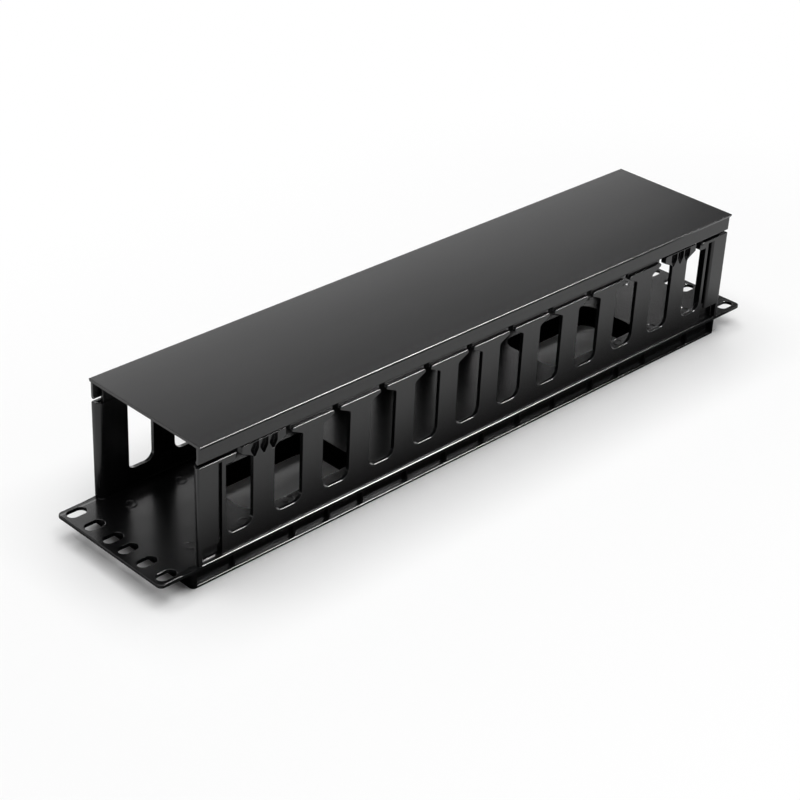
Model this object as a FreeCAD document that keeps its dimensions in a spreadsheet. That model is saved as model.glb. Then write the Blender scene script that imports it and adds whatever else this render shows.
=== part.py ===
# Horizontal cable manager for a 19 inch rack: a slotted finger duct with a hinged cover.
# It lies on its rear flange. X runs along it, Y across it, and Z points away from the rack.
# The origin is the middle of the rear flange's foot. All lengths are in millimetres.

import FreeCAD
import Part
import Sketcher
import math
import os
import re

# Driving sizes, each in a cell of its own
SIZES = {
    # Panel that screws to the rack's rails
    "panel_length": 482.6,
    "ear_length": 25.1,
    "panel_width": 88.4,
    "panel_thickness": 2.2,
    "panel_corner": 3.0,
    "face_height": 14.2,
    "overall_height": 87.1,
    # Slots in the panel's ears, at the rack's hole spacing
    "ear_slot_inset": 8.75,
    "ear_slot_length": 12.0,
    "ear_slot_width": 7.0,
    "row_inset": 6.1,
    "row_gap": 12.7,
    # Hollow rear flange under the panel
    "flange_margin": 2.5,
    "flange_setback": 2.2,
    "flange_end": 3.2,
    "flange_corner": 2.5,
    "foot_thickness": 1.6,
    "web_recess": 2.4,
    "web_thickness": 2.0,
    "rib_thickness": 1.6,
    "rib_setback": 0.5,
    "rib_rise": 4.0,
    "rib_first": 31.4,
    "rib_second": 62.8,
    "rib_third": 97.5,
    "rib_fourth": 122.6,
    "rib_fifth": 148.0,
    "rib_sixth": 190.0,
    # Two openings in the duct's floor for cables from behind
    "opening_start": 82.0,
    "opening_length": 81.0,
    "opening_width": 44.0,
    "opening_corner": 9.5,
    "rim_thickness": 2.0,
    # Comb walls
    "wall_setback": 1.5,
    "wall_thickness": 2.6,
    "strip_height": 10.6,
    "slot_corner": 5.5,
    "fingers_each_side": 5,
    "stem_width": 14.6,
    "stem_corner": 2.0,
    "head_mouth": 4.2,
    "head_side": 2.1,
    "head_slant": 3.7,
    "head_softening": 0.8,
    "head_swell": 1.2,
    "head_gap": 3.7,
    "end_gap": 18.3,
    # Tongues that stand inside the cover's lips
    "tongue_clearance": 1.4,
    "tongue_gap": 0.3,
    "tongue_corner": 1.0,
    # Latch heads, on the first and last finger of each wall
    "latch_gap": 1.2,
    "grip_width": 5.5,
    "grip_gap": 0.9,
    "grip_rim": 0.6,
    "grip_side": 4.4,
    "grip_taper": 4.0,
    "grip_tip_width": 1.0,
    "grip_depth": 2.4,
    "nose_width": 18.0,
    "nose_reach": 0.4,
    "nose_height": 3.0,
    "nose_slope": 1.5,
    "nose_gap": 0.5,
    # End posts, each a wall folded back on itself
    "post_length": 19.6,
    "post_depth": 6.0,
    "post_wall": 2.2,
    "post_skin": 2.0,
    "post_strip": 2.7,
    "post_end_flat": 0.2,
    "post_crease": 1.0,
    "post_gap": 1.7,
    "skin_flat": 0.1,
    "skin_gap": 2.2,
    "window_height": 9.8,
    "leg_width": 2.7,
    "rail_thickness": 1.8,
    "rail_overlap": 2.5,
    "rail_corner": 1.5,
    "hook_drop": 5.9,
    "hook_corner": 2.0,
    "post_tongue_length": 15.0,
    "post_tongue_inset": 4.2,
    # Cover
    "cover_inset": 0.5,
    "cover_overhang": 1.8,
    "cover_thickness": 1.8,
    "cover_rim": 0.4,
    "cover_undercut": 0.85,
    "lip_thickness": 1.8,
    "lip_drop": 9.7,
    "bead_radius": 1.2,
}

# Places across the part, as distances from its middle plane
EDGE = "(panel_width / 2)"
ROW_STEP = f"(({EDGE} - row_inset - row_gap / 2) / 2)"
WALL_FACE = f"({EDGE} - wall_setback)"
WALL_BACK = f"({WALL_FACE} - wall_thickness)"
HEAD_BACK = f"({WALL_BACK} - head_swell)"
TONGUE_FACE = f"({EDGE} - lip_thickness - tongue_clearance)"
POST_BACK = f"({EDGE} - post_depth)"
POCKET_BACK = f"({POST_BACK} + post_wall)"
POCKET_FRONT = f"({EDGE} - post_skin)"
FOOT_FACE = f"({EDGE} - flange_setback)"
WEB_FACE = f"({FOOT_FACE} - web_recess)"
WEB_BACK = f"({WEB_FACE} - web_thickness)"

# Heights above the rear flange's foot
UNDER_PANEL = "(face_height - panel_thickness)"
UNDER_COVER = "(overall_height - cover_thickness)"
LIP_FOOT = f"({UNDER_COVER} - lip_drop)"
TONGUE_TOP = f"({UNDER_COVER} - tongue_gap)"
HEAD_TOP = f"({LIP_FOOT} - head_gap)"
HEAD_EDGE = f"({HEAD_TOP} - head_side)"
STEM_TOP = f"({HEAD_EDGE} - head_slant)"
LATCH_TOP = f"({LIP_FOOT} - latch_gap)"
POST_TOP = f"({LIP_FOOT} - post_gap)"
SLOT_BOTTOM = "(face_height + strip_height)"
NOSE_FOOT = f"({LIP_FOOT} + 2 * bead_radius + nose_gap)"

# Places along the part, as distances from its middle
POST_END = "(panel_length / 2 - ear_length)"
POST_START = f"({POST_END} - post_length)"
PITCH = f"(({POST_START} - end_gap - stem_width / 2) / fingers_each_side)"
LAST_FINGER = f"(fingers_each_side * {PITCH})"
HEAD_WIDTH = f"({PITCH} - head_mouth)"
HOOK_END = f"({LAST_FINGER} + {HEAD_WIDTH} / 2 + head_mouth)"
SKIN_START = f"({POST_START} + post_strip + skin_gap)"
FLANGE_END = f"({POST_END} + flange_margin)"
ROWS_TO_MIDDLE = 3
RIBS = ["rib_first", "rib_second", "rib_third", "rib_fourth", "rib_fifth", "rib_sixth"]

document = FreeCAD.newDocument("cable_manager")
sheet = document.addObject("Spreadsheet::Sheet", "size")
for row, (name, number) in enumerate(SIZES.items(), start=1):
    sheet.set(f"A{row}", name)
    sheet.set(f"B{row}", str(number))
    sheet.setAlias(f"B{row}", name)
document.recompute()


def bound(formula):
    """A formula of size names, with each name turned into its cell."""
    return re.sub(r"[a-z_]+", lambda word: "size." + word.group(), formula)


def worth(formula):
    """What a formula of size names comes to now."""
    return float(sheet.evalExpression(bound(formula)))


def place_point(sketch, geometry, end, corner):
    """Ties one point of a sketch to its two formulas, measured from the sketch's origin."""
    for kind, formula in zip(("DistanceX", "DistanceY"), corner):
        tie = Sketcher.Constraint(kind, -1, 1, geometry, end, worth(formula))
        index = sketch.addConstraint(tie)
        sketch.setExpression(f"Constraints[{index}]", bound(formula))


def round_corner(sketch, side_in, side_out, point, corner, begin, finish):
    """An arc between two sides, tangent to both, whose radius is the corner's third formula."""
    radius = worth(corner[2])
    middle = (begin + finish) * 0.5
    centre = point + (middle - point) * (point.distanceToPoint(begin) / (middle - point).Length) ** 2
    top = centre + (point - centre).normalize() * radius
    arc = sketch.addGeometry(Part.Arc(begin, top, finish), False)
    mark = sketch.addGeometry(Part.Point(point), True)
    turns_left = (point - begin).cross(finish - point).z > 0
    arc_in, arc_out = (1, 2) if turns_left else (2, 1)
    sketch.addConstraint([
        Sketcher.Constraint("Tangent", side_in, 2, arc, arc_in),
        Sketcher.Constraint("Tangent", side_out, 1, arc, arc_out),
        Sketcher.Constraint("PointOnObject", mark, 1, side_in),
        Sketcher.Constraint("PointOnObject", mark, 1, side_out),
    ])
    index = sketch.addConstraint(Sketcher.Constraint("Radius", arc, radius))
    sketch.setExpression(f"Constraints[{index}]", bound(corner[2]))
    place_point(sketch, mark, 1, corner)


def draw(sketch, corners):
    """Draws one closed outline of straight sides, with an arc at each corner that has a radius."""
    points = [FreeCAD.Vector(worth(corner[0]), worth(corner[1]), 0) for corner in corners]
    begins, finishes = [], []
    for i, corner in enumerate(corners):
        back = (points[i - 1] - points[i]).normalize()
        ahead = (points[(i + 1) % len(points)] - points[i]).normalize()
        radius = worth(corner[2]) if len(corner) == 3 else 0
        reach = radius / math.tan(back.getAngle(ahead) / 2)
        begins.append(points[i] + back * reach)
        finishes.append(points[i] + ahead * reach)
    sides = []
    for i, finish in enumerate(finishes):
        side = Part.LineSegment(finish, begins[(i + 1) % len(points)])
        sides.append(sketch.addGeometry(side, False))
    for i, corner in enumerate(corners):
        if len(corner) == 3:
            round_corner(sketch, sides[i - 1], sides[i], points[i], corner, begins[i], finishes[i])
        else:
            sketch.addConstraint(Sketcher.Constraint("Coincident", sides[i - 1], 2, sides[i], 1))
            place_point(sketch, sides[i], 1, corner)


def draw_slot(sketch, across, up, length, width):
    """Draws a slot with full round ends, lying along the sketch's first axis."""
    radius = worth(width) / 2
    half = worth(length) / 2 - radius
    centre = FreeCAD.Vector(worth(across), worth(up), 0)
    upward = FreeCAD.Vector(0, radius, 0)
    sideways = FreeCAD.Vector(half, 0, 0)
    right, left = centre + sideways, centre - sideways
    axis = FreeCAD.Vector(0, 0, 1)
    lower = sketch.addGeometry(Part.LineSegment(left - upward, right - upward), False)
    quarter = math.pi / 2
    cap = sketch.addGeometry(Part.ArcOfCircle(Part.Circle(right, axis, radius), -quarter, quarter), False)
    upper = sketch.addGeometry(Part.LineSegment(right + upward, left + upward), False)
    heel = sketch.addGeometry(Part.ArcOfCircle(Part.Circle(left, axis, radius), quarter, 3 * quarter), False)
    for one, other in ((lower, cap), (cap, upper), (upper, heel), (heel, lower)):
        sketch.addConstraint(Sketcher.Constraint("Tangent", one, 2, other, 1))
    sketch.addConstraint(Sketcher.Constraint("Equal", cap, heel))
    index = sketch.addConstraint(Sketcher.Constraint("Radius", cap, radius))
    sketch.setExpression(f"Constraints[{index}]", bound(f"{width} / 2"))
    place_point(sketch, cap, 3, (f"{across} + ({length} - {width}) / 2", up))
    place_point(sketch, heel, 3, (f"{across} - ({length} - {width}) / 2", up))


def draw_circle(sketch, across, up, size):
    """Draws a circle, of a radius, round a point."""
    centre = FreeCAD.Vector(worth(across), worth(up), 0)
    circle = sketch.addGeometry(Part.Circle(centre, FreeCAD.Vector(0, 0, 1), worth(size)), False)
    index = sketch.addConstraint(Sketcher.Constraint("Radius", circle, worth(size)))
    sketch.setExpression(f"Constraints[{index}]", bound(size))
    place_point(sketch, circle, 3, (across, up))


def box_corners(left, right, low, high):
    """The four corners of a plain rectangle."""
    return [(left, low), (right, low), (right, high), (left, high)]


def origin_feature(body, role):
    return next(item for item in body.Origin.OriginFeatures if item.Role == role)


def new_sketch(body, name, role, height):
    """An empty sketch parallel to one of the body's origin planes."""
    sketch = body.newObject("Sketcher::SketchObject", name)
    sketch.AttachmentSupport = [(origin_feature(body, role), "")]
    sketch.MapMode = "FlatFace"
    sketch.setExpression("AttachmentOffset.Base.z", bound(height))
    return sketch


def raise_sketch(body, name, sketch, length):
    """A sketch raised along its plane's normal."""
    feature = body.newObject("PartDesign::Pad", name)
    feature.Profile = sketch
    feature.setExpression("Length", bound(length))
    body.Tip = feature
    return feature


def pad(body, name, role, height, length, *outlines):
    """Outlines drawn in a plane and raised from it."""
    sketch = new_sketch(body, name + "_sketch", role, height)
    for corners in outlines:
        draw(sketch, corners)
    return raise_sketch(body, name, sketch, length)


def pocket(body, name, sketch, depth=None):
    """A sketch cut against its plane's normal, through everything where no depth is given."""
    feature = body.newObject("PartDesign::Pocket", name)
    feature.Profile = sketch
    if depth is None:
        feature.Type = "ThroughAll"
    else:
        feature.setExpression("Length", bound(depth))
    body.Tip = feature
    return feature


def repeat_along(body, name, feature, spacing, count):
    """Copies of a feature at even steps along X."""
    pattern = body.newObject("PartDesign::LinearPattern", name)
    pattern.Originals = [feature]
    pattern.Direction = (origin_feature(body, "X_Axis"), [""])
    pattern.Mode = "Spacing"
    pattern.setExpression("Offset", bound(spacing))
    pattern.setExpression("Occurrences", bound(count))
    body.Tip = pattern


def join_with_image(name, piece, normal):
    """A piece fused with its mirror image in a plane through the origin."""
    image = document.addObject("Part::Mirroring", name + "_image")
    image.Source = piece
    image.Normal = normal
    whole = document.addObject("Part::Fuse", name)
    whole.Base = piece
    whole.Tool = image
    whole.Refine = True
    return whole


def add_panel(body):
    """A quarter of the panel, with the three slots of its ear."""
    pad(body, "panel", "XY_Plane", UNDER_PANEL, "panel_thickness", [
        ("0", f"-{EDGE}"),
        ("panel_length / 2", f"-{EDGE}", "panel_corner"),
        ("panel_length / 2", "0"),
        ("0", "0"),
    ])
    slots = new_sketch(body, "ear_slots_sketch", "XY_Plane", "face_height")
    for row in range(ROWS_TO_MIDDLE):
        draw_slot(slots, "panel_length / 2 - ear_slot_inset", f"row_inset + {row} * {ROW_STEP} - {EDGE}",
                  "ear_slot_length", "ear_slot_width")
    pocket(body, "ear_slots", slots)


def add_rear_flange(body):
    """The hollow flange: a web with a foot, an end wall, and ribs on both sides of the web."""
    pad(body, "web", "YZ_Plane", "0", f"{FLANGE_END} - flange_end / 2", [
        (f"-{FOOT_FACE}", "0"),
        (f"-{WEB_BACK}", "0"),
        (f"-{WEB_BACK}", UNDER_PANEL),
        (f"-{WEB_FACE}", UNDER_PANEL),
        (f"-{WEB_FACE}", "foot_thickness"),
        (f"-{FOOT_FACE}", "foot_thickness"),
    ])
    pad(body, "flange_end_wall", "XY_Plane", "0", UNDER_PANEL, [
        (f"{FLANGE_END} - flange_end", f"-{FOOT_FACE}"),
        (FLANGE_END, f"-{FOOT_FACE}", "flange_corner"),
        (FLANGE_END, "0"),
        (f"{FLANGE_END} - flange_end", "0"),
    ])
    outer_ribs, inner_ribs = [], []
    sides = [(f"{place} - rib_thickness / 2", f"{place} + rib_thickness / 2") for place in RIBS]
    for left, right in [("0", "rib_thickness / 2")] + sides:
        outer_ribs.append(box_corners(left, right, f"-{FOOT_FACE} + rib_setback", f"-{WEB_BACK}"))
        inner_ribs.append(box_corners(left, right, f"-{WEB_BACK} - web_thickness / 2", "0"))
    pad(body, "outer_ribs", "XY_Plane", "0", UNDER_PANEL, *outer_ribs)
    pad(body, "inner_ribs", "XY_Plane", "rib_rise", f"{UNDER_PANEL} - rib_rise", *inner_ribs)


def add_floor_opening(body):
    """Half of one floor opening, with a rim under the panel that reaches down to the foot's level."""
    start, end = "opening_start", "(opening_start + opening_length)"
    rim_corner = "opening_corner + rim_thickness"
    pad(body, "opening_rim", "XY_Plane", "0", UNDER_PANEL, [
        (f"{start} - rim_thickness", "-opening_width / 2 - rim_thickness", rim_corner),
        (f"{end} + rim_thickness", "-opening_width / 2 - rim_thickness", rim_corner),
        (f"{end} + rim_thickness", "0"),
        (f"{start} - rim_thickness", "0"),
    ])
    opening = new_sketch(body, "floor_opening_sketch", "XY_Plane", "face_height")
    draw(opening, [
        (start, "-opening_width / 2", "opening_corner"),
        (end, "-opening_width / 2", "opening_corner"),
        (end, "opening_corner"),
        (start, "opening_corner"),
    ])
    pocket(body, "floor_opening", opening)


def add_comb_wall(body):
    """Half of a comb wall: a plain wall with T-shaped slots between its fingers."""
    pad(body, "wall", "XZ_Plane", WALL_BACK, "wall_thickness",
        box_corners("0", f"{POST_START} + post_strip", UNDER_PANEL, HEAD_TOP))
    slot = new_sketch(body, "cable_slot_sketch", "XZ_Plane", WALL_FACE)
    draw(slot, slot_outline(f"{PITCH} / 2"))
    repeat_along(body, "cable_slots", pocket(body, "cable_slot", slot), PITCH, "fingers_each_side")
    end_slot = new_sketch(body, "end_slot_sketch", "XZ_Plane", WALL_FACE)
    draw(end_slot, [
        (f"{LAST_FINGER} + stem_width / 2", SLOT_BOTTOM, "slot_corner"),
        (POST_START, SLOT_BOTTOM, "slot_corner"),
        (POST_START, f"{HEAD_TOP} + head_side"),
        (f"{LAST_FINGER} + {HEAD_WIDTH} / 2", f"{HEAD_TOP} + head_side"),
        (f"{LAST_FINGER} + {HEAD_WIDTH} / 2", HEAD_EDGE),
        (f"{LAST_FINGER} + stem_width / 2", STEM_TOP, "stem_corner"),
    ])
    pocket(body, "end_slot", end_slot)


def slot_outline(middle):
    """A cable slot, wide between the stems and narrow between the heads, open at its top."""
    stem = f"({PITCH} - stem_width) / 2"
    mouth = "head_mouth / 2"
    above = f"{HEAD_TOP} + head_side"
    return [
        (f"{middle} - {stem}", SLOT_BOTTOM, "slot_corner"),
        (f"{middle} + {stem}", SLOT_BOTTOM, "slot_corner"),
        (f"{middle} + {stem}", STEM_TOP, "stem_corner"),
        (f"{middle} + {mouth}", HEAD_EDGE),
        (f"{middle} + {mouth}", f"{HEAD_TOP} - head_softening"),
        (f"{middle} + {mouth} + head_softening", HEAD_TOP),
        (f"{middle} + {mouth} + head_softening", above),
        (f"{middle} - {mouth} - head_softening", above),
        (f"{middle} - {mouth} - head_softening", HEAD_TOP),
        (f"{middle} - {mouth}", f"{HEAD_TOP} - head_softening"),
        (f"{middle} - {mouth}", HEAD_EDGE),
        (f"{middle} - {stem}", STEM_TOP, "stem_corner"),
    ]


def add_tongues(body):
    """The thick back of each head, which runs on up as a tongue inside the cover's lip."""
    thickness = f"{TONGUE_FACE} - {HEAD_BACK}"
    pad(body, "middle_tongue", "XZ_Plane", HEAD_BACK, thickness, [
        ("0", STEM_TOP),
        ("stem_width / 2", STEM_TOP),
        (f"{HEAD_WIDTH} / 2", HEAD_EDGE),
        (f"{HEAD_WIDTH} / 2", TONGUE_TOP, "tongue_corner"),
        ("0", TONGUE_TOP),
    ])
    tongue = pad(body, "tongue", "XZ_Plane", HEAD_BACK, thickness, [
        (f"{PITCH} - {HEAD_WIDTH} / 2", HEAD_EDGE),
        (f"{PITCH} - stem_width / 2", STEM_TOP),
        (f"{PITCH} + stem_width / 2", STEM_TOP),
        (f"{PITCH} + {HEAD_WIDTH} / 2", HEAD_EDGE),
        (f"{PITCH} + {HEAD_WIDTH} / 2", TONGUE_TOP, "tongue_corner"),
        (f"{PITCH} - {HEAD_WIDTH} / 2", TONGUE_TOP, "tongue_corner"),
    ])
    repeat_along(body, "tongues", tongue, PITCH, "fingers_each_side")


def add_latch_head(body):
    """The last finger's taller head, with three grip recesses and a nose for the cover's bead."""
    left, right = f"{LAST_FINGER} - {HEAD_WIDTH} / 2", f"{LAST_FINGER} + {HEAD_WIDTH} / 2"
    back = f"({TONGUE_FACE} - head_swell)"
    grip_top = f"{LATCH_TOP} - grip_rim"
    grip_shoulder = f"{LATCH_TOP} - grip_rim - grip_side"
    pad(body, "latch_head", "XZ_Plane", back, f"{WALL_FACE} - {back}", [
        (left, HEAD_EDGE),
        (right, HEAD_EDGE),
        (right, LATCH_TOP, "head_softening"),
        (left, LATCH_TOP, "head_softening"),
    ])
    grips = new_sketch(body, "latch_grips_sketch", "XZ_Plane", WALL_FACE)
    for step in (-1, 0, 1):
        middle = f"{LAST_FINGER} + {step} * (grip_width + grip_gap)"
        draw(grips, [
            (f"{middle} - grip_tip_width / 2", f"{grip_shoulder} - grip_taper"),
            (f"{middle} + grip_tip_width / 2", f"{grip_shoulder} - grip_taper"),
            (f"{middle} + grip_width / 2", grip_shoulder),
            (f"{middle} + grip_width / 2", grip_top),
            (f"{middle} - grip_width / 2", grip_top),
            (f"{middle} - grip_width / 2", grip_shoulder),
        ])
    pocket(body, "latch_grips", grips, "grip_depth")
    pad(body, "latch_nose", "YZ_Plane", f"{LAST_FINGER} - nose_width / 2", "nose_width", [
        (f"-{TONGUE_FACE} - nose_reach", NOSE_FOOT),
        (f"-{HEAD_BACK}", NOSE_FOOT),
        (f"-{HEAD_BACK}", f"{NOSE_FOOT} + nose_height"),
        (f"-{TONGUE_FACE}", f"{NOSE_FOOT} + nose_height"),
        (f"-{TONGUE_FACE} - nose_reach", f"{NOSE_FOOT} + nose_height - nose_slope"),
    ])


def add_end_post(body):
    """The corner post, a hairpin in plan with a pocket open at its top, and what stands on it."""
    pocket_end = f"{POST_END} - post_wall"
    strip_end = f"{POST_START} + post_strip"
    pad(body, "post", "XY_Plane", UNDER_PANEL, f"{POST_TOP} - {UNDER_PANEL}", [
        (POST_START, f"-{POST_BACK}"),
        (POST_START, f"-{WALL_FACE}"),
        (strip_end, f"-{WALL_FACE}"),
        (strip_end, f"-{POCKET_BACK}"),
        (pocket_end, f"-{POCKET_BACK}", "post_crease"),
        (pocket_end, f"-{POCKET_FRONT}"),
        (SKIN_START, f"-{POCKET_FRONT}"),
        (SKIN_START, f"-{EDGE}", "post_skin - skin_flat"),
        (POST_END, f"-{EDGE}", "post_crease"),
        (POST_END, f"-{POST_BACK}", "post_depth - post_crease - post_end_flat"),
    ])
    window = new_sketch(body, "post_window_sketch", "XZ_Plane", EDGE)
    draw(window, box_corners(f"{SKIN_START} - skin_gap / 2", f"{POST_END} - leg_width",
                             "face_height", "face_height + window_height"))
    pocket(body, "post_window", window, f"({EDGE} - {POCKET_BACK} + post_skin) / 2")
    pad(body, "post_rail", "XY_Plane", f"{POST_TOP} - rail_thickness", "rail_thickness", [
        (HOOK_END, f"-{TONGUE_FACE}"),
        (HOOK_END, f"-{EDGE}", "rail_corner"),
        (f"{SKIN_START} + rail_overlap", f"-{EDGE}"),
        (f"{SKIN_START} + rail_overlap", f"-{TONGUE_FACE}"),
    ])
    pad(body, "post_hook", "XZ_Plane", HEAD_BACK, f"{WALL_FACE} - {HEAD_BACK}", [
        (HOOK_END, f"{POST_TOP} - hook_drop", "hook_corner"),
        (f"{POST_START} + post_strip / 2", f"{POST_TOP} - hook_drop"),
        (f"{POST_START} + post_strip / 2", POST_TOP),
        (HOOK_END, POST_TOP),
    ])
    tongue_end = f"({POST_END} - post_tongue_inset)"
    pad(body, "post_tongue", "XZ_Plane", HEAD_BACK, f"{TONGUE_FACE} - {HEAD_BACK}", [
        (f"{tongue_end} - post_tongue_length", f"{POST_TOP} - rail_thickness"),
        (tongue_end, f"{POST_TOP} - rail_thickness"),
        (tongue_end, TONGUE_TOP, "tongue_corner"),
        (f"{tongue_end} - post_tongue_length", TONGUE_TOP, "tongue_corner"),
    ])


def build_duct_base():
    """The one-piece moulded duct. One quarter is modelled, then mirrored twice."""
    body = document.addObject("PartDesign::Body", "duct_quarter")
    add_panel(body)
    add_rear_flange(body)
    add_floor_opening(body)
    add_comb_wall(body)
    add_tongues(body)
    add_latch_head(body)
    add_end_post(body)
    right_half = join_with_image("duct_right_half", body, FreeCAD.Vector(0, 1, 0))
    return join_with_image("duct_base", right_half, FreeCAD.Vector(1, 0, 0))


def build_hinged_cover():
    """The extruded cover: a plate undercut at its edges, with two lips and a bead along each foot."""
    body = document.addObject("PartDesign::Body", "hinged_cover")
    end = f"-({POST_END} - cover_inset)"
    length = f"2 * ({POST_END} - cover_inset)"
    half_width = f"({EDGE} + cover_overhang)"
    lip_back = f"({EDGE} - lip_thickness)"
    bead_height = "(bead_radius - lip_drop)"
    pad(body, "section", "YZ_Plane", end, length, [
        (f"-{half_width}", "cover_thickness", "cover_rim"),
        (f"cover_undercut - {half_width}", "0"),
        (f"-{EDGE}", "0"),
        (f"-{EDGE}", bead_height),
        (f"-{lip_back}", bead_height),
        (f"-{lip_back}", "0"),
        (lip_back, "0"),
        (lip_back, bead_height),
        (EDGE, bead_height),
        (EDGE, "0"),
        (f"{half_width} - cover_undercut", "0"),
        (half_width, "cover_thickness", "cover_rim"),
    ])
    beads = new_sketch(body, "beads_sketch", "YZ_Plane", end)
    draw_circle(beads, f"bead_radius - {EDGE}", bead_height, "bead_radius")
    draw_circle(beads, f"{EDGE} - bead_radius", bead_height, "bead_radius")
    raise_sketch(body, "beads", beads, length)
    body.setExpression("Placement.Base.z", bound(UNDER_COVER))
    return body


def check(bodies):
    """Stops if a feature failed, a pocket cut nothing or a piece isn't one sound solid."""
    for item in document.Objects:
        if "Invalid" in item.State or "Error" in item.State:
            raise RuntimeError(f"{item.Label} failed: {item.State}")
        if item.TypeId == "PartDesign::Pocket" and item.Shape.Volume >= item.BaseFeature.Shape.Volume:
            raise RuntimeError(f"{item.Label} cuts nothing")
    for body in bodies:
        if body.Shape.isNull() or not body.Shape.isValid() or len(body.Shape.Solids) != 1:
            raise RuntimeError(f"{body.Label} is not one valid solid")


pieces = [build_duct_base(), build_hinged_cover()]
document.recompute()
check(pieces)
os.makedirs("parts", exist_ok=True)
for piece in pieces:
    piece.Shape.exportStep(f"parts/{piece.Label}.step")
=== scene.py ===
"""A horizontal cable manager for a rack, lying on its rear flange on a white floor."""
import math

import bmesh
import bpy
from mathutils import Matrix, Quaternion, Vector


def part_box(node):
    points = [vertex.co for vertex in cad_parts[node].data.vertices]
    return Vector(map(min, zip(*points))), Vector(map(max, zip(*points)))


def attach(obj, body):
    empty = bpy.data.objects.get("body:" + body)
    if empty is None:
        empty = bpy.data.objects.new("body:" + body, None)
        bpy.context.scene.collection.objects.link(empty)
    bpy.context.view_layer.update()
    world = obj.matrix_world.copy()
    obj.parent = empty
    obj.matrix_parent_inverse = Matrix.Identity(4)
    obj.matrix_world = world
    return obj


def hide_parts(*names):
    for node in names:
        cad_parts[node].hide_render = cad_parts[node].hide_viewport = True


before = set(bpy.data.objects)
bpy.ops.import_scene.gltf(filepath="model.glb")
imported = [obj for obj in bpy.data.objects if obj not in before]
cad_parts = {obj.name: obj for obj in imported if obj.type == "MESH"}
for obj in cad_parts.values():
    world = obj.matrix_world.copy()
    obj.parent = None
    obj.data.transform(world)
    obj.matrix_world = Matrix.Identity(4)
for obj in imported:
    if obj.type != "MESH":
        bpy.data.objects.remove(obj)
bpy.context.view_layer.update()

MM = 0.001
DUCT = "duct"
COVER = "cover"

# The duct's far corner from the CAD, the height of its panel's face, the radius of the panel's
# corners, and half the width of the floor between its walls
DUCT_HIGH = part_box("duct_base")[1]
PANEL_FACE = 14.2 * MM
PANEL_CORNER = 3.0 * MM
FLOOR_HALF = 42.5 * MM

# Grip recesses in the latch heads
LATCH_PLACE = 171.0 * MM
GRIPS_WIDTH = 19.0 * MM
GRIPS_LOW = 64.5 * MM
GRIPS_HIGH = 74.0 * MM
GRIPS_BACK = 39.9 * MM

# Softened edges, by the radius that the moulding tool leaves
EDGE_RADIUS = 0.3 * MM
CREASE_RADIUS = 0.04 * MM
FLOOR_CREASE_RADIUS = 0.12 * MM
GRIP_RADIUS = 0.12 * MM
RIM_RADIUS = 0.5 * MM
COVER_EDGE_RADIUS = 0.16 * MM
EDGE_STEPS = 3

# What counts as a sharp edge, as one point, as one flat face and as lying at a place
SHARP_TURN = math.radians(32)
SAME_POINT = 0.002 * MM
SAME_PLANE = math.radians(0.4)
NEAR = 0.05 * MM

# Ring marks on the duct's floor: distances from its middle, size, and facets around each circle
RING_MARKS = [(138.4 * MM, 26.0 * MM), (171.0 * MM, 26.5 * MM), (206.0 * MM, 25.5 * MM)]
RING_RADIUS = 3.2 * MM
RING_WIRE = 0.45 * MM
RING_FACES = 28
WIRE_FACES = 8

# Plastics: greys from darkest to palest, refractive index, and the depth of the fine relief
DUCT_GREYS = ((0.0012, 0.0012, 0.0014, 1), (0.004, 0.004, 0.0043, 1))
DUCT_INDEX = 1.47
DUCT_RELIEF = 0.05 * MM
FLOOR_COAT = 0.3
FLOOR_WAVES = 9
COVER_GREYS = ((0.007, 0.007, 0.0073, 1), (0.011, 0.011, 0.0114, 1))
COVER_INDEX = 1.45
COVER_RELIEF = 0.03 * MM
RELIEF_STRENGTH = 0.35
COAT_ROUGHNESS = 0.12

# Bands in which the duct floor's finish ends: above its face, below it, and at its walls
FINISH_ABOVE = (PANEL_FACE + 0.1 * MM, PANEL_FACE + 1.2 * MM)
FINISH_BELOW = (0.05 * MM, 0.3 * MM)
FINISH_ACROSS = (40.5 * MM, 42.0 * MM)

# White ground: half its size, and the distances from the object's outline between which its
# shadow fades out
GROUND_HALF = 4.0
SHADOW_START = 80 * MM
SHADOW_END = 320 * MM
WHITE = (1, 1, 1, 1)
GROUND_PAINT = (0.86, 0.86, 0.86, 1)

# Painted shade: a dark strip of ground, seen only in reflections, that stands in for shade near the
# duct's long sides so their lower parts mirror it dark; and how far it reaches
REFLECTED_SHADE_PAINT = (0.02, 0.02, 0.02, 1)
REFLECTED_SHADE_FORWARDS = 90 * MM
REFLECTED_SHADE_SIDEWAYS = 40 * MM

# Light of the room, and the lamps: places and sizes in metres, power in watts, roll in degrees
ROOM_LIGHT = 0.15
LAMPS = {
    "overhead": dict(place=(0, 0, 2.5), aim=(0, 0, 0), width=3.2, height=3.2, power=95),
    "behind": dict(place=(0.45, 0.80, 0.30), aim=(0.45, 0, 0.25), width=1.8, height=0.58,
                   power=7.2, roll=2.5, edges_only=True),
    "edge_light": dict(place=(0.65, -0.45, 0.94), aim=(-0.1, 0, 0.05), width=0.55, height=0.45,
                       power=80, edges_only=True),
}

# Camera, as fitted to the photograph
CAMERA_PLACE = (-0.74329, -0.6939, 0.6039)
CAMERA_AZIMUTH = math.radians(-45.837)
CAMERA_ELEVATION = math.radians(30.228)
CAMERA_ROLL = math.radians(2.833)
FOCAL_PIXELS = 1976.6
IMAGE_PIXELS = 800
SENSOR_MM = 36.0


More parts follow.
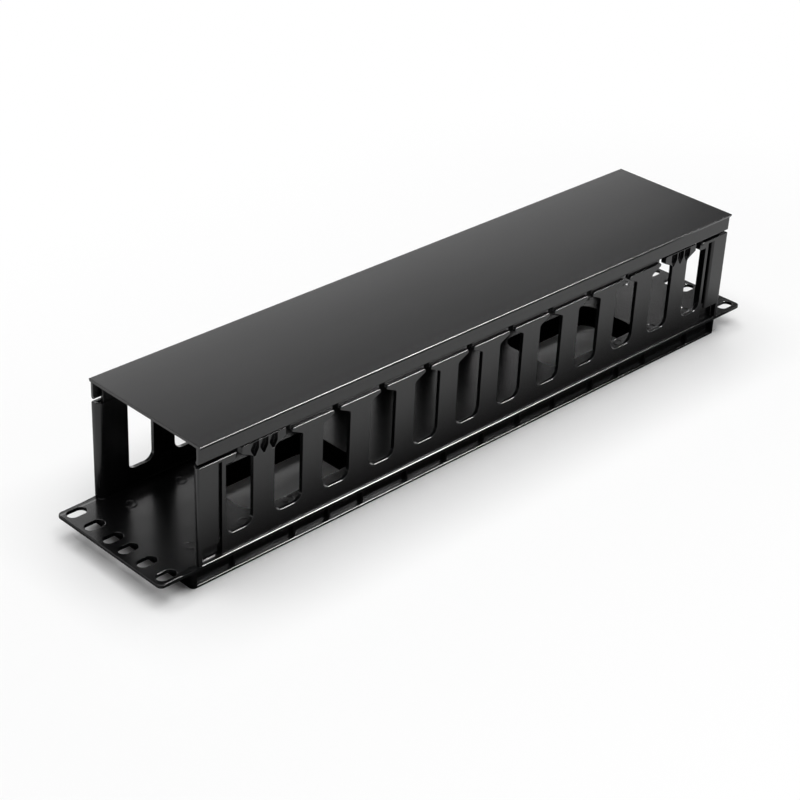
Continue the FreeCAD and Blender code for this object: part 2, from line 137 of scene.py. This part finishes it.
class Wire:
    """A socket of a node tree, on which plain arithmetic adds Math nodes."""

    def __init__(self, maker, socket):
        self.maker = maker
        self.socket = socket

    def maths(self, operation, *terms):
        """A Math node on one or two terms, each a wire or a number."""
        return self.maker.node("ShaderNodeMath", {"operation": operation}, dict(enumerate(terms)))

    def __add__(self, other):
        return self.maths("ADD", self, other)

    __radd__ = __add__

    def __sub__(self, other):
        return self.maths("SUBTRACT", self, other)

    def __rsub__(self, other):
        return self.maths("SUBTRACT", other, self)

    def __mul__(self, other):
        return self.maths("MULTIPLY", self, other)

    __rmul__ = __mul__

    def __abs__(self):
        return self.maths("ABSOLUTE", self)


class NodeMaker:
    """Adds nodes to one tree and links them."""

    def __init__(self, tree):
        self.tree = tree
        self.tree.nodes.clear()

    def node(self, kind, settings=None, sockets=None, output=0):
        """Adds one node, sets it up and fills its sockets, and returns one of its outputs."""
        made = self.tree.nodes.new(kind)
        for name, setting in (settings or {}).items():
            setattr(made, name, setting)
        for key, given in (sockets or {}).items():
            if isinstance(given, Wire):
                self.tree.links.new(given.socket, made.inputs[key])
            else:
                made.inputs[key].default_value = given
        return Wire(self, made.outputs[output]) if len(made.outputs) else made

    def mix_colours(self, factor, colours):
        """A colour between the first and the second of two."""
        first, second = colours
        return self.node("ShaderNodeMix", {"data_type": "RGBA"},
                         {0: factor, 6: first, 7: second}, output=2)

    def axis(self, vector, letter):
        """One coordinate of a vector."""
        return self.node("ShaderNodeSeparateXYZ", {}, {"Vector": vector}, letter)

    def vector_maths(self, operation, *terms, output=0):
        """A Vector Math node on one or two vectors."""
        return self.node("ShaderNodeVectorMath", {"operation": operation},
                         dict(enumerate(terms)), output)


def new_material(name):
    """A material with an empty tree, and the maker of its nodes."""
    material = bpy.data.materials.new(name)
    material.use_nodes = True
    return material, NodeMaker(material.node_tree)


def stretched_noise(maker, place, scale, detail, roughness, stretch=(1, 1, 1)):
    """Noise on the piece's own coordinates, drawn out along an axis by the stretch."""
    mapped = maker.node("ShaderNodeMapping", {}, {"Vector": place, "Scale": stretch})
    return maker.node("ShaderNodeTexNoise", {},
                      {"Vector": mapped, "Scale": scale, "Detail": detail, "Roughness": roughness})


def step_down(maker, measure, start, end):
    """One up to the start, falling smoothly to nothing at the end."""
    return maker.node("ShaderNodeMapRange", {"interpolation_type": "SMOOTHSTEP"}, {
        "Value": measure, "From Min": start, "From Max": end, "To Min": 1.0, "To Max": 0.0})


def finish_plastic(maker, colour, roughness, bump, depth, index, coat):
    """The shader of a plastic, out of its colour, roughness, relief, refractive index and shine."""
    relief = maker.node("ShaderNodeBump", {},
                        {"Strength": RELIEF_STRENGTH, "Distance": depth, "Height": bump})
    shader = maker.node("ShaderNodeBsdfPrincipled", {}, {
        "Base Color": colour, "Roughness": roughness, "Normal": relief, "IOR": index,
        "Coat Weight": coat, "Coat Roughness": COAT_ROUGHNESS})
    maker.node("ShaderNodeOutputMaterial", {}, {"Surface": shader})


def duct_plastic():
    """Black moulded plastic: satin walls with faint flow marks, and a glossier, cloudy floor."""
    material, maker = new_material("duct_plastic")
    place = maker.node("ShaderNodeTexCoord", output="Object")
    grain = stretched_noise(maker, place, scale=2600, detail=3, roughness=0.6)
    clouds = stretched_noise(maker, place, scale=22, detail=4, roughness=0.55)
    flow = stretched_noise(maker, place, scale=90, detail=3, roughness=0.5, stretch=(1, 1, 0.25))
    waves = stretched_noise(maker, place, scale=30, detail=1, roughness=0.4)
    height = maker.axis(place, "Z")
    on_floor = (step_down(maker, height, *FINISH_ABOVE)
                * step_down(maker, PANEL_FACE - height, *FINISH_BELOW)
                * step_down(maker, abs(maker.axis(place, "Y")), *FINISH_ACROSS))
    colour = maker.mix_colours(clouds * 0.8 + grain * 0.2, DUCT_GREYS)
    walls = 0.12 + flow * 0.06 + grain * 0.04
    floor = 0.12 + clouds * 0.14 + grain * 0.04
    roughness = walls + (floor - walls) * on_floor
    relief = grain * 0.6 + flow * 0.8 + waves * on_floor * FLOOR_WAVES
    finish_plastic(maker, colour, roughness, relief, DUCT_RELIEF, DUCT_INDEX, on_floor * FLOOR_COAT)
    return material


def cover_plastic():
    """Dark grey extruded plastic: fine satin, with faint lines along its length."""
    material, maker = new_material("cover_plastic")
    place = maker.node("ShaderNodeTexCoord", output="Object")
    grain = stretched_noise(maker, place, scale=3000, detail=2, roughness=0.6)
    lines = stretched_noise(maker, place, scale=420, detail=3, roughness=0.6, stretch=(0.015, 1, 1))
    clouds = stretched_noise(maker, place, scale=14, detail=3, roughness=0.5, stretch=(0.4, 1, 1))
    colour = maker.mix_colours(clouds * 0.6 + lines * 0.4, COVER_GREYS)
    roughness = 0.16 + lines * 0.04 + clouds * 0.04 + grain * 0.04
    relief = grain * 0.5 + lines * 0.5
    finish_plastic(maker, colour, roughness, relief, COVER_RELIEF, COVER_INDEX, coat=0.0)
    return material


def link(item):
    """Puts an object into the scene."""
    bpy.context.scene.collection.objects.link(item)
    return item


def copy_of_node(name, node):
    """A Blender piece with the CAD node's shape, its triangles joined into whole flat faces."""
    mesh = bpy.data.meshes.new(name)
    shape = bmesh.new()
    shape.from_mesh(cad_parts[node].data)
    bmesh.ops.remove_doubles(shape, verts=shape.verts, dist=SAME_POINT)
    bmesh.ops.dissolve_limit(shape, angle_limit=SAME_PLANE, verts=shape.verts, edges=shape.edges)
    bmesh.ops.dissolve_degenerate(shape, edges=shape.edges, dist=SAME_POINT)
    shape.to_mesh(mesh)
    shape.free()
    return link(bpy.data.objects.new(name, mesh))


def mark_edges(piece, radius_of):
    """Gives each sharp edge its bevel weight, as a share of the widest radius."""
    shape = bmesh.new()
    shape.from_mesh(piece.data)
    weight = shape.edges.layers.float.new("bevel_weight_edge")
    for edge in shape.edges:
        if len(edge.link_faces) == 2 and edge.calc_face_angle(0) > SHARP_TURN:
            edge[weight] = radius_of(edge) / RIM_RADIUS
    shape.to_mesh(piece.data)
    shape.free()


def soften(piece):
    """Rounds the marked edges and shades the faces between them flat."""
    piece.data.shade_smooth()
    bevel = piece.modifiers.new("soft_edges", "BEVEL")
    bevel.limit_method = "WEIGHT"
    bevel.width = RIM_RADIUS
    bevel.segments = EDGE_STEPS
    bevel.use_clamp_overlap = False
    bevel.face_strength_mode = "FSTR_AFFECTED"
    flatten = piece.modifiers.new("flat_faces", "WEIGHTED_NORMAL")
    flatten.mode = "FACE_AREA"
    flatten.weight = 100
    flatten.use_face_influence = True
    apply_modifiers(piece)


def apply_modifiers(piece):
    """Gives a piece the plain mesh that its modifiers make, and removes them."""
    view = bpy.context.evaluated_depsgraph_get()
    finished = bpy.data.meshes.new_from_object(piece.evaluated_get(view),
                                               preserve_all_data_layers=True, depsgraph=view)
    piece.modifiers.clear()
    piece.data = finished


def duct_edge_radius(edge):
    """The panel's outer rim is rounder than the other edges, and the grip recesses are sharper.

    Creases are tighter, most of all away from the duct's floor.
    """
    points = [corner.co for corner in edge.verts]
    if all(on_panel_rim(point) for point in points):
        return RIM_RADIUS
    if all(in_grips(point) for point in points):
        return GRIP_RADIUS
    if edge.is_convex:
        return EDGE_RADIUS
    if all(on_duct_floor(point) for point in points):
        return FLOOR_CREASE_RADIUS
    return CREASE_RADIUS


def on_duct_floor(point):
    """Whether a point lies on the panel's face between the duct's walls."""
    return abs(point.z - PANEL_FACE) < NEAR and abs(point.y) < FLOOR_HALF


def in_grips(point):
    """Whether a point lies at the grip recesses of a latch head."""
    along = abs(abs(point.x) - LATCH_PLACE) < GRIPS_WIDTH / 2
    return along and GRIPS_LOW < point.z < GRIPS_HIGH and abs(point.y) > GRIPS_BACK


def on_panel_rim(point):
    """Whether a point lies on the panel's face, along its outline with round corners."""
    if abs(point.z - PANEL_FACE) > NEAR:
        return False
    past_x = abs(point.x) - (DUCT_HIGH.x - PANEL_CORNER)
    past_y = abs(point.y) - (DUCT_HIGH.y - PANEL_CORNER)
    if past_x > 0 and past_y > 0:
        return abs(math.hypot(past_x, past_y) - PANEL_CORNER) < NEAR
    return abs(max(past_x, past_y) - PANEL_CORNER) < NEAR


def make_moulding(name, node, radius_of, plastic):
    """A piece with the CAD node's shape, its edges rounded, in its plastic."""
    piece = copy_of_node(name, node)
    mark_edges(piece, radius_of)
    soften(piece)
    piece.data.materials.append(plastic)
    return piece


def make_duct():
    """The moulded duct, in place of its CAD node."""
    duct = make_moulding("duct_moulding", "duct_base", duct_edge_radius, duct_plastic())
    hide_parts("duct_base")
    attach(duct, DUCT)
    return duct


def make_cover():
    """The extruded cover, in place of its CAD node."""
    cover = make_moulding("cover_moulding", "hinged_cover",
                          lambda edge: COVER_EDGE_RADIUS, cover_plastic())
    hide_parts("hinged_cover")
    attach(cover, COVER)


def ring_tree(material):
    """A Geometry Nodes tree that stands a thin ring on each point."""
    tree = bpy.data.node_groups.new("ring_marks", "GeometryNodeTree")
    face = tree.interface
    face.new_socket("Points", in_out="INPUT", socket_type="NodeSocketGeometry")
    radius = face.new_socket("Ring radius", in_out="INPUT", socket_type="NodeSocketFloat")
    wire = face.new_socket("Wire radius", in_out="INPUT", socket_type="NodeSocketFloat")
    face.new_socket("Rings", in_out="OUTPUT", socket_type="NodeSocketGeometry")
    maker = NodeMaker(tree)
    given = tree.nodes.new("NodeGroupInput")
    points, ring_radius, wire_radius = (Wire(maker, given.outputs[i]) for i in range(3))
    ring = maker.node("GeometryNodeCurvePrimitiveCircle", {},
                      {"Resolution": RING_FACES, "Radius": ring_radius})
    section = maker.node("GeometryNodeCurvePrimitiveCircle", {},
                         {"Resolution": WIRE_FACES, "Radius": wire_radius})
    tube = maker.node("GeometryNodeCurveToMesh", {}, {"Curve": ring, "Profile Curve": section})
    placed = maker.node("GeometryNodeInstanceOnPoints", {}, {"Points": points, "Instance": tube})
    solid = maker.node("GeometryNodeRealizeInstances", {}, {"Geometry": placed})
    dressed = maker.node("GeometryNodeSetMaterial", {}, {"Geometry": solid, "Material": material})
    maker.node("NodeGroupOutput", {}, {"Rings": dressed})
    return tree, radius.identifier, wire.identifier


def make_ring_marks(material):
    """The small raised rings that the moulding tool leaves on the duct's floor."""
    places = [(side * x, wall * y, PANEL_FACE)
              for x, y in RING_MARKS for side in (-1, 1) for wall in (-1, 1)]
    mesh = bpy.data.meshes.new("floor_rings")
    mesh.from_pydata(places, [], [])
    rings = link(bpy.data.objects.new("floor_rings", mesh))
    modifier = rings.modifiers.new("rings", "NODES")
    modifier.node_group, radius, wire = ring_tree(material)
    modifier[radius] = RING_RADIUS
    modifier[wire] = RING_WIRE
    apply_modifiers(rings)
    rings.data.shade_smooth()
    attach(rings, DUCT)


def white_ground():
    """White paint that takes the object's soft shadow, and is plain white farther out.

    In reflections it shows painted shade, a dark strip close to the duct's long sides.
    """
    material, maker = new_material("white_floor")
    place = maker.node("ShaderNodeTexCoord", output="Object")
    folded = maker.vector_maths("ABSOLUTE", place)
    past = maker.vector_maths("SUBTRACT", folded, (DUCT_HIGH.x, DUCT_HIGH.y, 0))
    outside = maker.vector_maths("MAXIMUM", past, (0, 0, 0))
    distance = maker.vector_maths("LENGTH", outside, output="Value")
    far_out = 1 - step_down(maker, distance, SHADOW_START, SHADOW_END)
    # Painted shade: where glossy rays see the dark strip near the duct's long sides
    reflected_shade_mask = (step_down(maker, maker.axis(outside, "Y"), 0, REFLECTED_SHADE_FORWARDS)
                * step_down(maker, maker.axis(outside, "X"), 0, REFLECTED_SHADE_SIDEWAYS))
    glossy_ray = maker.node("ShaderNodeLightPath", output="Is Glossy Ray")
    camera_ray = maker.node("ShaderNodeLightPath", output="Is Camera Ray")
    paint = maker.node("ShaderNodeBsdfDiffuse", {}, {"Color": GROUND_PAINT})
    # Painted shade: the dark paint that reflections show near the duct's sides
    reflected_shade = maker.node("ShaderNodeBsdfDiffuse", {}, {"Color": REFLECTED_SHADE_PAINT})
    ground = maker.node("ShaderNodeMixShader", {}, {0: glossy_ray * reflected_shade_mask, 1: paint, 2: reflected_shade})
    white = maker.node("ShaderNodeEmission", {}, {"Color": WHITE, "Strength": 1.0})
    surface = maker.node("ShaderNodeMixShader", {}, {0: camera_ray * far_out, 1: ground, 2: white})
    maker.node("ShaderNodeOutputMaterial", {}, {"Surface": surface})
    return material


def make_floor():
    """The white floor that the object lies on."""
    half = GROUND_HALF
    mesh = bpy.data.meshes.new("floor")
    mesh.from_pydata([(-half, -half, 0), (half, -half, 0), (half, half, 0), (-half, half, 0)],
                     [], [(0, 1, 2, 3)])
    mesh.materials.append(white_ground())
    floor = link(bpy.data.objects.new("floor", mesh))


def softbox(name, place, aim, width, height, power, roll=0.0, edges_only=False):
    """A large soft lamp, turned to a point and rolled, which may show in reflections only."""
    lamp = bpy.data.lights.new(name, "AREA")
    lamp.shape = "RECTANGLE"
    lamp.size = width
    lamp.size_y = height
    lamp.energy = power
    stand = link(bpy.data.objects.new(name, lamp))
    stand.location = place
    turned = (Vector(aim) - Vector(place)).to_track_quat("-Z", "Y")
    stand.rotation_euler = (turned @ Quaternion((0, 0, 1), math.radians(roll))).to_euler()
    stand.visible_camera = False
    stand.visible_diffuse = not edges_only


def light_studio():
    """A pale room with its lamps: overhead, behind the cover, and one that picks out the edges."""
    world = bpy.data.worlds.new("white_room")
    world.use_nodes = True
    bpy.context.scene.world = world
    maker = NodeMaker(world.node_tree)
    camera_ray = maker.node("ShaderNodeLightPath", output="Is Camera Ray")
    room = maker.node("ShaderNodeBackground", {}, {"Color": WHITE, "Strength": ROOM_LIGHT})
    white = maker.node("ShaderNodeBackground", {}, {"Color": WHITE, "Strength": 1.0})
    seen = maker.node("ShaderNodeMixShader", {}, {0: camera_ray, 1: room, 2: white})
    maker.node("ShaderNodeOutputWorld", {}, {"Surface": seen})
    for name, setting in LAMPS.items():
        softbox(name, **setting)


def set_camera():
    """A camera at the fitted place, turned by its azimuth, elevation and roll."""
    back = Vector((math.sin(CAMERA_AZIMUTH) * math.cos(CAMERA_ELEVATION),
                   -math.cos(CAMERA_AZIMUTH) * math.cos(CAMERA_ELEVATION),
                   math.sin(CAMERA_ELEVATION)))
    level = (-back).cross(Vector((0, 0, 1))).normalized()
    upright = back.cross(level)
    right = level * math.cos(CAMERA_ROLL) + upright * math.sin(CAMERA_ROLL)
    up = upright * math.cos(CAMERA_ROLL) - level * math.sin(CAMERA_ROLL)
    lens = bpy.data.cameras.new("camera")
    lens.sensor_width = SENSOR_MM
    lens.lens = SENSOR_MM * FOCAL_PIXELS / IMAGE_PIXELS
    camera = link(bpy.data.objects.new("camera", lens))
    turn = Matrix((right, up, back)).transposed().to_4x4()
    camera.matrix_world = Matrix.Translation(CAMERA_PLACE) @ turn
    bpy.context.scene.camera = camera


duct = make_duct()
make_cover()
make_ring_marks(duct.data.materials[0])
make_floor()
light_studio()
set_camera()
bpy.context.scene.view_settings.view_transform = "Standard"
